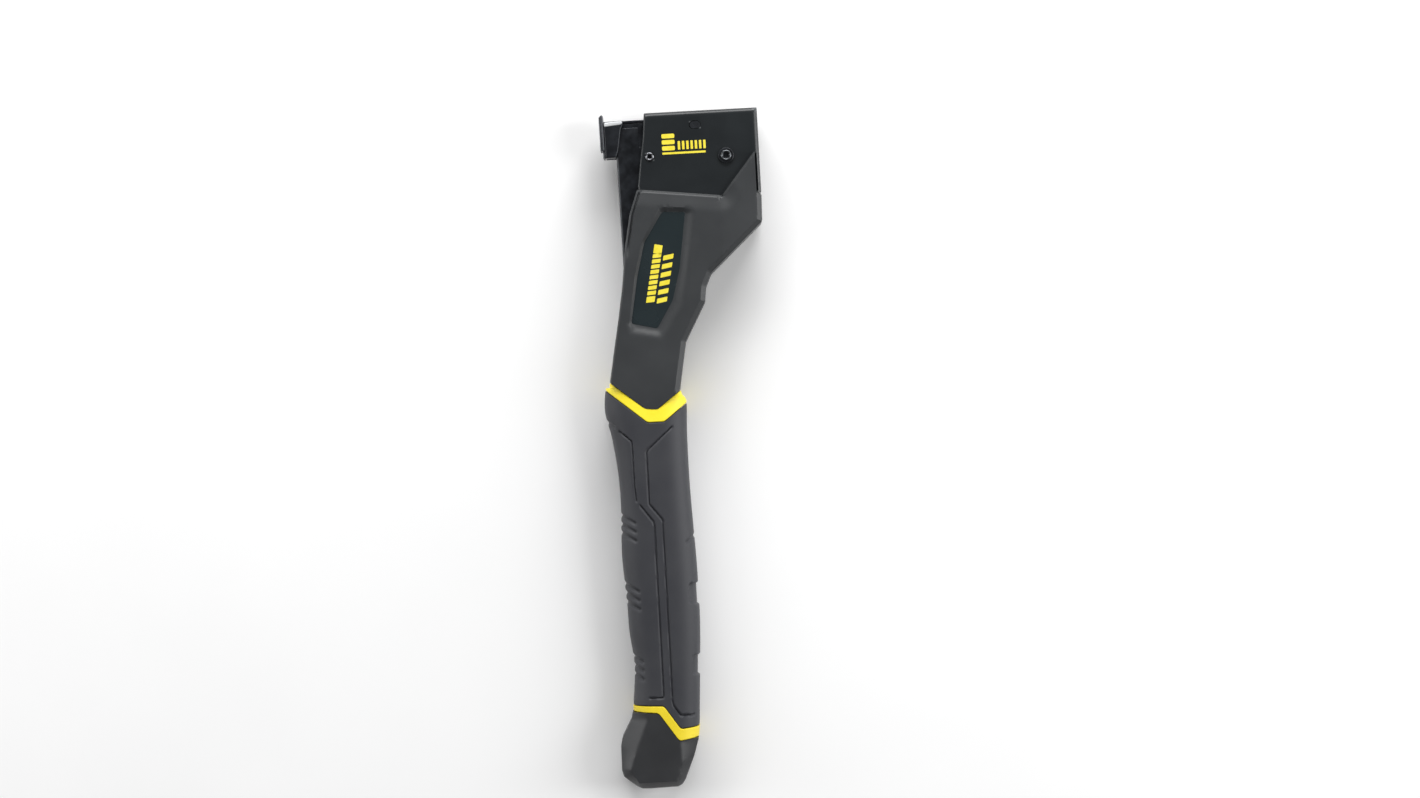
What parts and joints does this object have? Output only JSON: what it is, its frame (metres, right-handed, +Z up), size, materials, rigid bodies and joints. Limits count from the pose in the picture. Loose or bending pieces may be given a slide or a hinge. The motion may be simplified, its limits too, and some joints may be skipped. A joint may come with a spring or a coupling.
{
  "type": "hammer tacker",
  "caption": "Strike stapler swung like a hammer: the magazine swings into the steel head so that a fixed blade drives a staple; the butt cap pulls off with the staple rail for loading.",
  "frame": {"origin": "middle of the side that the tool lies on", "axes": "+Y along the handle from the butt cap to the head, +X away from the struck side, +Z up from the side it lies on"},
  "size_m": [0.0922, 0.3656, 0.0352],
  "materials": {
    "frame_paint": "semi-gloss teal black paint",
    "dark_steel": "blackened",
    "plain_steel": "satin",
    "bright_steel": "zinc plated",
    "composite": "fine moulded texture",
    "grip_rubber": "matt",
    "cap_plastic": "fine moulded texture",
    "label_gloss": "gloss",
    "accent_yellow": "satin",
    "bumper_rubber": "matt",
    "bush_nylon": "natural nylon"
  },
  "bodies": {
    "body": {"head_frame": "frame_paint", "stop_rivet_left": "bright_steel", "stop_rivet_right": "bright_steel", "clamp_bolt": "bright_steel", "clamp_nut": "bright_steel", "clamp_spacer": "plain_steel", "driver_block": "dark_steel", "driver_blade": "plain_steel", "driver_rivet_1": "bright_steel", "driver_rivet_2": "bright_steel", "return_spring": "bright_steel", "spring_seat": "composite", "strike_bumper": "bumper_rubber", "body_shell_left": "composite", "body_shell_right": "composite", "shell_screw_1": "bright_steel", "shell_screw_2": "bright_steel", "shell_screw_3": "bright_steel", "shell_screw_4": "bright_steel", "shell_screw_5": "bright_steel", "label_panel_left": "label_gloss", "label_panel_right": "label_gloss", "grip_sleeve": "grip_rubber", "accent_band_upper": "accent_yellow", "accent_band_lower": "accent_yellow", "pivot_pin_left": "bright_steel", "pivot_pin_right": "bright_steel", "pivot_bush_left": "bush_nylon", "pivot_bush_right": "bush_nylon"},
    "magazine": {"magazine_channel": "dark_steel", "magazine_cover": "plain_steel", "spring_cup": "plain_steel", "nose_block": "dark_steel", "nose_guide": "plain_steel", "nose_shoe": "plain_steel", "nose_screw_1": "bright_steel", "nose_screw_2": "bright_steel"},
    "cap": {"butt_cap": "cap_plastic", "cap_core": "cap_plastic", "cap_screw": "bright_steel", "cap_latch_left": "plain_steel", "cap_latch_right": "plain_steel"},
    "rail": {"staple_rail": "plain_steel", "tail_pin": "bright_steel", "rail_roller": "bright_steel", "roller_pin": "bright_steel", "follower_spring": "bright_steel"},
    "follower": {"follower": "dark_steel"}
  },
  "joints": [
    {"name": "strike", "type": "hinge", "parent": "body", "child": "magazine", "pos_m": [-0.0225, -0.15309, 0.0176], "axis": [0, 0, -1], "range_deg": [0, 3.5], "stiffness_Nm_per_rad": 80, "springref_deg": -1.15, "deforming": ["return_spring"]},
    {"name": "cap_pull", "type": "slide", "parent": "body", "child": "cap", "axis": [0.009, -1, 0], "range_m": [0, 0.345]},
    {"name": "rail_tilt", "type": "hinge", "parent": "cap", "child": "rail", "pos_m": [-0.0225, -0.15309, 0.0176], "axis": [0, 0, -1], "range_deg": [0, 3.5]},
    {"name": "follower_slide", "type": "slide", "parent": "rail", "child": "follower", "axis": [-0.009, 1, 0], "range_m": [-0.3, 0], "stiffness_N_per_m": 20, "springref_m": 0.2}
  ],
  "couplings": [
    {"joint": "rail_tilt", "follows": "strike", "ratio": 1}
  ]
}
